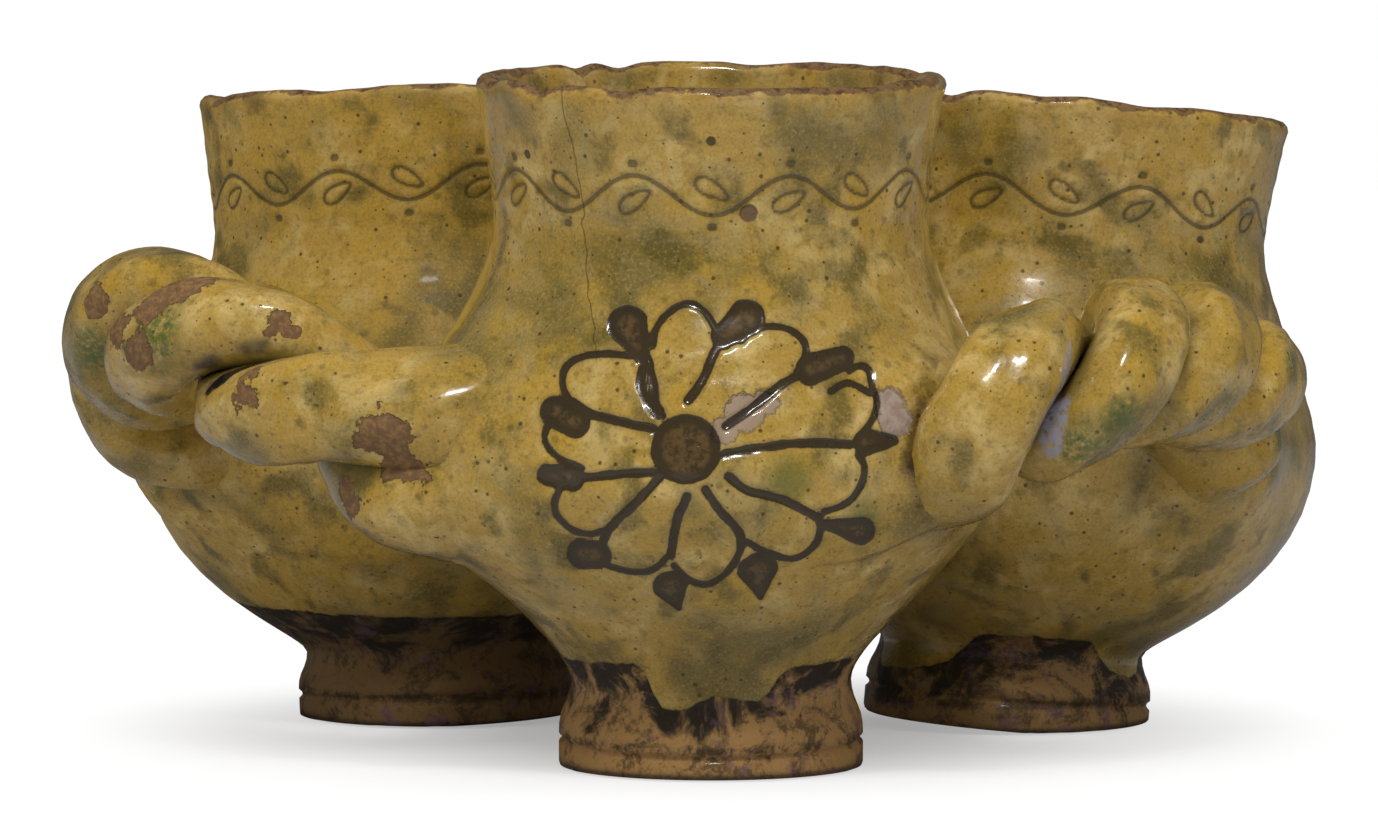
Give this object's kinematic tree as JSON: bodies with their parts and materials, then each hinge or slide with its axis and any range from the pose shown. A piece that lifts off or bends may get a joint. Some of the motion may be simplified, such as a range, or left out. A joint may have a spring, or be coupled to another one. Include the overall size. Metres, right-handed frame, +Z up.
{
  "type": "fuddling cup",
  "caption": "Slipware drinking puzzle: three small bulbous cups joined at the belly with passages inside, and twisted rope handles between them.",
  "frame": {"origin": "on the table, in the middle of the vessel's outline", "axes": "+Z up; -Y towards the cup with the flower, which faces the viewer; +X to the viewer's right"},
  "size_m": [0.198, 0.1966, 0.1059],
  "materials": {
    "glazed_slipware": "glossy mottled honey lead glaze over cream slip, bare brown foot",
    "luting_clay": "glossy honey lead glaze over smeared clay",
    "glazed_handle": "glossy honey lead glaze with green flecks, worn to red clay on the crests"
  },
  "bodies": {
    "root": {"front_cup": "glazed_slipware", "right_cup": "glazed_slipware", "left_cup": "glazed_slipware", "front_right_lute": "luting_clay", "right_left_lute": "luting_clay", "left_front_lute": "luting_clay", "right_handle_rope_a": "glazed_handle", "right_handle_rope_b": "glazed_handle", "right_handle_start_pad": "glazed_handle", "right_handle_end_pad": "glazed_handle", "back_handle_rope_a": "glazed_handle", "back_handle_rope_b": "glazed_handle", "back_handle_start_pad": "glazed_handle", "back_handle_end_pad": "glazed_handle", "left_handle_rope_a": "glazed_handle", "left_handle_rope_b": "glazed_handle", "left_handle_start_pad": "glazed_handle", "left_handle_end_pad": "glazed_handle"}
  },
  "joints": []
}
